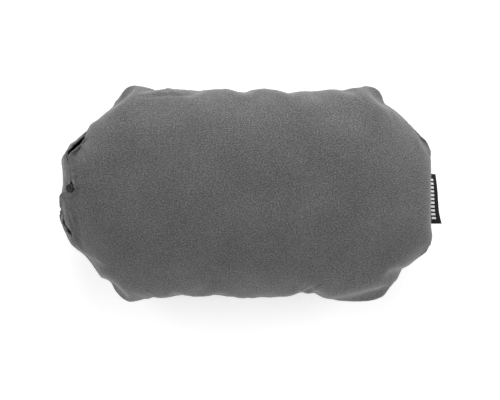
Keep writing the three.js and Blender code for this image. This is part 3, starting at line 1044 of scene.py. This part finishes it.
def bartack(name, lip, other, last, stands_for):
    """A dense zigzag of thread across the point where the mouth ends."""
    k = -1 if last else 0
    centre = (lip.at[k] + other.at[k]) / 2
    normal = unit(lip.normal[k] + other.normal[k] * 0.3)
    along = unit(lip.at[k] - lip.at[-8 if last else 7])
    across = unit(np.cross(normal, along))
    count, length, width = 26, 9.0, 3.2
    ends, normals = [], []
    for n in range(count):
        t = (n / (count - 1) - 0.5) * length
        flip = 1 if n % 2 else -1
        a = centre + along * t + across * width / 2 * flip
        b = centre + along * (t + length / count) - across * width / 2 * flip
        (a, b), (na, nb) = lip.cloth.on_surface(np.array([a, b]))
        ends.append((a + na * 0.25, b + nb * 0.25))
        normals.append(unit(na + nb + normal))
    thread = stitches(ends, normals, 0.33)
    return add_piece(name, *thread, TACK_THREAD, "thread", stands_for=stands_for)


upper_lip, lower_lip = Lip(top), Lip(bottom)
cover_top = panel_piece("cover_top", top, upper_lip, ["cover_top_panel"])
cover_bottom = panel_piece("cover_bottom", bottom, lower_lip, ["cover_bottom_panel"])

HEM_SECTION = [
    (0.2, 1.95), (3, 1.95), (6, 1.95), (9, 1.95), (9.4, 2.4), (9, 2.9), (6, 2.9), (3, 2.9),
    (0.2, 2.9),
]
ELASTIC_SECTION = [
    (2.2, 1.2), (4.5, 1.2), (6.6, 1.2), (6.8, 1.5), (6.6, 1.85), (4.5, 1.85), (2.2, 1.85),
    (2.0, 1.5),
]


def lip_band(name, lip, section, look, slot, stands_for, short):
    """A band along a lip that stops short of its two ends by so many points."""
    rings = lip.band(section)[short:-short]
    pattern = grid_pattern(lip.s[short:-short], lengths_along(np.array(section)))
    return add_piece(name, *loft(rings), look, slot, pattern=pattern, stands_for=stands_for)


hems, elastics, seams = {}, {}, {}
for side, lip in (("upper", upper_lip), ("lower", lower_lip)):
    hems[side] = lip_band(
        f"hem_{side}", lip, HEM_SECTION, KNIT_LOOK, "knit", [f"mouth_hem_{side}"], short=2
    )
    elastics[side] = lip_band(
        f"elastic_{side}", lip, ELASTIC_SECTION, ELASTIC, "elastic", [f"mouth_elastic_{side}"],
        short=6,
    )
    seams[side] = topstitch(f"hem_stitches_{side}", lip)
tack_back = bartack("tack_back", upper_lip, lower_lip, False, ["bartack_back"])
tack_front = bartack("tack_front", upper_lip, lower_lip, True, ["bartack_front"])

ALLOWANCE_SECTION = [(0.8, 0.5), (3, 1.25), (6, 1.25), (6.4, 2.0), (6, 2.7), (3, 2.6), (1.6, 1.6)]


def seam_allowance():
    """The turned-in, overlocked edges of both panels, lying against the inside of the lower one."""
    rim = bottom.p[bottom.rim]
    lines = []
    for below, depth in ALLOWANCE_SECTION:
        base, normal = bottom.smooth_surface(rim - seam_out * 0.3 - [0, 0, below])
        line = base - normal * depth
        for cloth in (top, bottom) * 3:
            line = cloth.tucked_under(smooth_line(line, 1), depth)
        lines.append(line)
    rings = np.array(lines).transpose(1, 0, 2)[3:-3]
    pattern = grid_pattern(lengths_along(rim)[3:-3], np.arange(len(lines)) * 2.0)
    return add_piece(
        "seam_allowance", *loft(rings), KNIT_LOOK, "knit",
        pattern=pattern, stands_for=["perimeter_seam"],
    )


allowance = seam_allowance()


# ---- The bladder ----

knob_low, knob_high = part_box("valve_knob")
knob_middle = (np.array(knob_low) + np.array(knob_high)) * 500 - [SHIFT, 0, 0]
valve_axis = next(np.array(j["axis"]) for j in frame["joints"] if j["name"] == "valve_pull")
KNOB_LENGTH = 10.0
VALVE_HOLE_RADIUS = 5.4
valve_top = knob_middle + valve_axis * KNOB_LENGTH / 2


def bladder_sheet(name, side, stands_for):
    """Half of the blown-up bladder: a crowned sheet with its flat welded rim."""
    rows, columns = 150, 64
    x_low, x_high = X_LEFT + 9.5, X_RIGHT - 15
    x = x_low + (x_high - x_low) * (1 - np.cos(np.linspace(0, np.pi, rows))) / 2
    inset = bladder_inset(x) + np.interp(x, [-250, -200], [0.4, 2.0])
    back, front = half_outline(x, "back", inset), -half_outline(x, "front", inset)
    height = (THICKNESS - SEAM_Z if side > 0 else BELLY) - BLADDER_FACE
    depth = height * taper(x, inset)
    angle = np.linspace(0, np.pi, columns)
    across = np.sign(np.cos(angle)) * np.abs(np.cos(angle)) ** (2 / SECTION_POWER)
    rise = np.sin(angle) ** (2 / SECTION_POWER)
    y = (back + front)[:, None] / 2 + (back - front)[:, None] / 2 * across
    z = SEAM_Z + side * (depth[:, None] * rise + 0.25)
    grid = np.stack([np.broadcast_to(x[:, None], y.shape), y, z], -1)
    from_rim = np.minimum(angle, np.pi - angle)[None] * 60
    pucker = noise_1d(grid[..., 0] + side * 700, 7, 40) * np.exp(-from_rim / 6)
    grid[..., 2] += side * 0.5 * pucker * np.sin(angle)
    grid[..., 2] = np.maximum(grid[..., 2], 3.2)
    welds = []
    for edge, sign in ((grid[:, 0], 1), (grid[:, -1], -1)):
        slope = np.gradient(edge[:, 1]) / np.gradient(edge[:, 0])
        outward = unit(np.stack([-slope, np.ones(rows)], 1)) * sign
        for reach in (2.4, 1.2):
            level = np.full(rows, SEAM_Z + side * 0.25)
            welds.append(np.column_stack([edge[:, :2] + outward * reach, level]))
    grid = np.concatenate([np.stack(welds[:2], 1), grid, np.stack(welds[:1:-1], 1)], 1)
    points = grid.reshape(-1, 3)
    faces, _ = grid_faces(*grid.shape[:2])
    if side > 0:
        faces = faces[:, [0, 3, 2, 1]]
        middle = points[faces].mean(1)
        from_top = middle - valve_top
        off_axis = np.linalg.norm(from_top - (from_top @ valve_axis)[:, None] * valve_axis, axis=1)
        faces = faces[(off_axis > VALVE_HOLE_RADIUS) | (middle[:, 0] > 0)]
    else:
        faces = faces[:, [1, 2, 3, 0]]
    piece = add_piece(
        name, points, faces.tolist(), FILM, "film", stands_for=stands_for, outward=False
    )
    thicken(piece, FILM_THICKNESS)
    return piece


bladder_top = bladder_sheet("bladder_top", 1, ["bladder_top_sheet"])
bladder_bottom = bladder_sheet("bladder_bottom", -1, ["bladder_bottom_sheet"])


# ---- The valve's knob ----


def knob_piece():
    """A ribbed pull cap: a dished top with an air hole, a rounded rim, and a hollow skirt."""
    # radius, height from the top, and share of the ribs' depth
    profile = [
        (2.2, -1.8, 0), (2.2, -1.15, 0), (2.35, -0.92, 0), (2.7, -0.8, 0), (3.4, -0.72, 0),
        (4.1, -0.56, 0), (4.6, -0.3, 0), (4.95, -0.08, 0), (5.35, 0.0, 0), (5.8, -0.06, 0),
        (6.25, -0.26, 0.1), (6.55, -0.6, 0.35), (6.68, -1.05, 0.8), (6.7, -1.6, 1), (6.7, -3.5, 1),
        (6.7, -5.5, 1), (6.7, -7.5, 1), (6.68, -9.1, 1), (6.6, -9.6, 0.7), (6.35, -9.92, 0.3),
        (6.0, -10.0, 0), (4.8, -10.0, 0), (4.5, -9.75, 0), (4.5, -9.0, 0), (4.8, -8.75, 0),
        (5.45, -8.7, 0), (5.45, -5.0, 0), (5.45, -2.2, 0), (5.2, -1.8, 0), (3.6, -1.8, 0),
    ]
    ribs, rib_depth = 16, 0.42
    around = np.linspace(0, 2 * np.pi, 12 * ribs, endpoint=False)
    rib = np.clip(np.cos(around * ribs) * 2.2 - 0.6, -1, 1) * 0.5 + 0.5
    side = unit(np.cross([0, 1, 0], valve_axis))
    up = np.cross(valve_axis, side)
    rings = []
    for a, ribbed in zip(around, rib):
        ring = []
        for r, z, share in profile:
            r = r - rib_depth * share * (1 - ribbed)
            ring.append(valve_top + (side * math.cos(a) + up * math.sin(a)) * r + valve_axis * z)
        rings.append(ring)
    return add_piece(
        "pull_knob", *loft(rings, wrap=True), KNOB_PLASTIC, "plastic",
        body="knob", stands_for=["valve_knob"],
    )


knob = knob_piece()


# ---- Labels ----


def end_label_piece():
    """A woven strip folded in half, sewn into the end seam; it droops more towards its back end."""
    half, sewn_in, front_end = 0.62, 3.5, -45.5
    edge = top.p[-1]
    bend = LABEL_PROJECTION - half
    flat_top = [(reach, half) for reach in np.linspace(-sewn_in, bend, 20)]
    turn = [(bend + half * math.sin(a), half * math.cos(a)) for a in np.linspace(0.4, 2.74, 6)]
    outer = flat_top + turn + [(reach, -rise) for reach, rise in flat_top[::-1]]
    inner = [(reach * 0.996 - 0.1, rise * 0.3) for reach, rise in outer[::-1]]
    section = np.array(outer + inner)
    section[:, 1] *= 0.35 + 0.65 * np.clip(section[:, 0] / 4, 0, 1)
    along = np.linspace(0, LABEL_LENGTH, 90)
    rings = []
    for s in along:
        t = s / LABEL_LENGTH
        y = front_end + LABEL_LENGTH * t
        root = [np.interp(y, edge[:, 1], edge[:, k]) for k in range(3)]
        droop = math.radians(6 + 53 * t**1.1 + 1.5 * math.sin(7 * t))
        curl = 0.004 * math.sin(4 * t + 0.6)
        ring = []
        for reach, rise in section:
            out = max(reach, 0)
            angle = droop * min(1.0, out / 5) + curl * out * 0.4
            lean = droop + curl * reach
            x = root[0] + (out * math.cos(lean) if reach >= 0 else reach) + rise * math.sin(angle)
            z = root[2] - out * math.sin(lean) + rise * math.cos(angle)
            ring.append([x, y - 0.06 * out * t, z])
        rings.append(ring)
    piece = add_piece(
        "side_label", *loft(rings), LABEL_LOOK, "label", body=None,
        pattern=grid_pattern(along, lengths_along(section) - sewn_in), stands_for=["end_label"],
    )
    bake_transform(piece)
    return piece


def care_label_piece():
    """A satin tape in the same seam, lying against the inside of the upper panel."""
    width, length, seam_x = 26, 44, X_RIGHT - 4
    out = np.linspace(seam_x, seam_x - 34, 18)
    rings = []
    for y in np.linspace(43, 43 + width, 14):
        line = np.stack([out, np.full(18, y), np.full(18, SEAM_Z) + (seam_x - out) * 0.9 + 6], 1)
        base, normal = top.on_surface(line)
        rings.append(np.concatenate([base - normal * 4.2, (base - normal * 4.55)[::-1]]))
    there_and_back = np.r_[np.linspace(0, length, 18), np.linspace(length, 0, 18)]
    return add_piece(
        "care_tape", *loft(rings), SATIN, "satin",
        pattern=grid_pattern(np.linspace(0, width, 14), there_and_back), stands_for=["care_label"],
    )


side_label = end_label_piece()
care_tape = care_label_piece()

for node, look in (
    ("bladder_baffle_back", FILM),
    ("bladder_baffle_front", FILM),
    ("valve_base", VALVE_PLASTIC),
    ("valve_plug", PIN_PLASTIC),
    ("valve_o_ring", RUBBER),
):
    for material_slot in frame["nodes"][node].material_slots:
        material_slot.material = look


# ---- Floor, light and camera ----


def add_floor():
    s = Shader("pale_floor", Specular_IOR_Level=0.1, Emission_Strength=0.4)
    s.surface.inputs["Emission Color"].default_value = (1, 1, 1, 1)
    cloud = s.noise(s.place(), 0.4, 2)
    s.colour(cloud, (0.0, 0.9), (1.0, 0.93))
    s.rough(cloud, 0.8, 0.9)
    mesh = bpy.data.meshes.new("floor")
    half = 12.0
    corners = [(-half, -half, 0), (half, -half, 0), (half, half, 0), (-half, half, 0)]
    mesh.from_pydata(corners, [], [(0, 1, 2, 3)])
    mesh.materials.append(s.material)
    floor = bpy.data.objects.new("floor", mesh)
    bpy.context.scene.collection.objects.link(floor)


def add_light(name, direction, distance, size, watts):
    """A soft box that faces the pillow from a direction."""
    light = bpy.data.lights.new(name, "AREA")
    light.shape = "RECTANGLE"
    light.size, light.size_y = size
    light.energy = watts
    lamp = bpy.data.objects.new(name, light)
    aim = Vector((0, 0, 0.06))
    lamp.location = aim + Vector(direction).normalized() * distance
    lamp.rotation_euler = (aim - lamp.location).to_track_quat("-Z", "Y").to_euler()
    bpy.context.scene.collection.objects.link(lamp)


def add_world(strength):
    world = bpy.data.worlds.new("studio")
    world.use_nodes = True
    world.node_tree.nodes["Background"].inputs[0].default_value = (1, 1, 1, 1)
    world.node_tree.nodes["Background"].inputs[1].default_value = strength
    bpy.context.scene.world = world


def add_camera():
    """Straight above, far enough for the outline to keep its plan shape."""
    data = bpy.data.cameras.new("camera")
    data.lens, data.sensor_width = 240, 36
    wide = 0.7515
    camera = bpy.data.objects.new("camera", data)
    camera.location = (-0.001, -0.0098, SEAM_Z * 0.001 + wide * data.lens / data.sensor_width)
    bpy.context.scene.collection.objects.link(camera)
    bpy.context.scene.camera = camera


add_floor()
add_light("back_box", (0.1, 1.0, 0.35), 2.2, (2.4, 1.0), 62)
add_light("front_box", (-0.1, -1.0, 0.32), 2.4, (2.4, 1.0), 36)
add_light("right_box", (1.0, 0.1, 0.4), 2.4, (1.4, 1.0), 20)
add_light("left_box", (-1.0, 0.2, 0.6), 2.4, (1.4, 1.0), 12)
add_world(0.3)
add_camera()
bpy.context.scene.view_settings.view_transform = "Standard"
